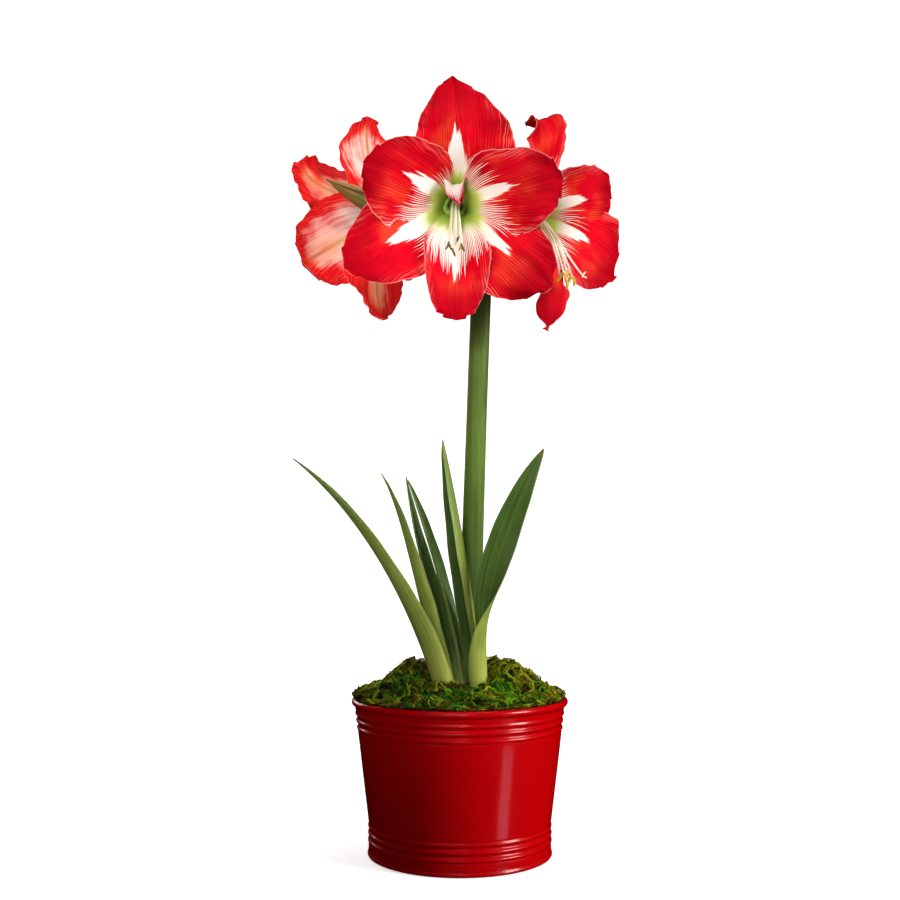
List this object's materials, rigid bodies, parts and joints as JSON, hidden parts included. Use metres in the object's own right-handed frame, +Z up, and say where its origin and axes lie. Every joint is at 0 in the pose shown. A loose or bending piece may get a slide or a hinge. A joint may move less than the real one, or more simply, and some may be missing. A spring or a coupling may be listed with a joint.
{
  "type": "amaryllis in a pot",
  "caption": "Flowering bulb plant in a tapered painted tin with ribs and a rolled rim: strap leaves, a tall bare stem and large trumpet blooms over a mossed surface.",
  "frame": {"origin": "centre of the pot's flat underside", "axes": "+Z up along the pot's axis, +X to the right and the largest bloom facing -Y"},
  "size_m": [0.2772, 0.2298, 0.6309],
  "materials": {
    "pot_paint": "gloss",
    "potting_mix": "loose, matt",
    "bulb_tunic": "papery",
    "moss": "matt",
    "stem_green": "satin",
    "petal": "satin",
    "stamen": "matt",
    "bud_green": "satin",
    "spathe": "papery",
    "leaf": "satin"
  },
  "bodies": {
    "root": {"pot": "pot_paint", "potting_mix": "potting_mix", "bulb": "bulb_tunic", "moss": "moss", "scape": "stem_green", "bloom_front": "petal", "bloom_right": "petal", "bloom_left": "petal", "stamens_front": "stamen", "stamens_right": "stamen", "stamens_left": "stamen", "bud": "bud_green", "spathe_1": "spathe", "spathe_2": "spathe", "leaf_1": "leaf", "leaf_2": "leaf", "leaf_3": "leaf", "leaf_4": "leaf", "leaf_5": "leaf", "leaf_6": "leaf"}
  },
  "joints": []
}
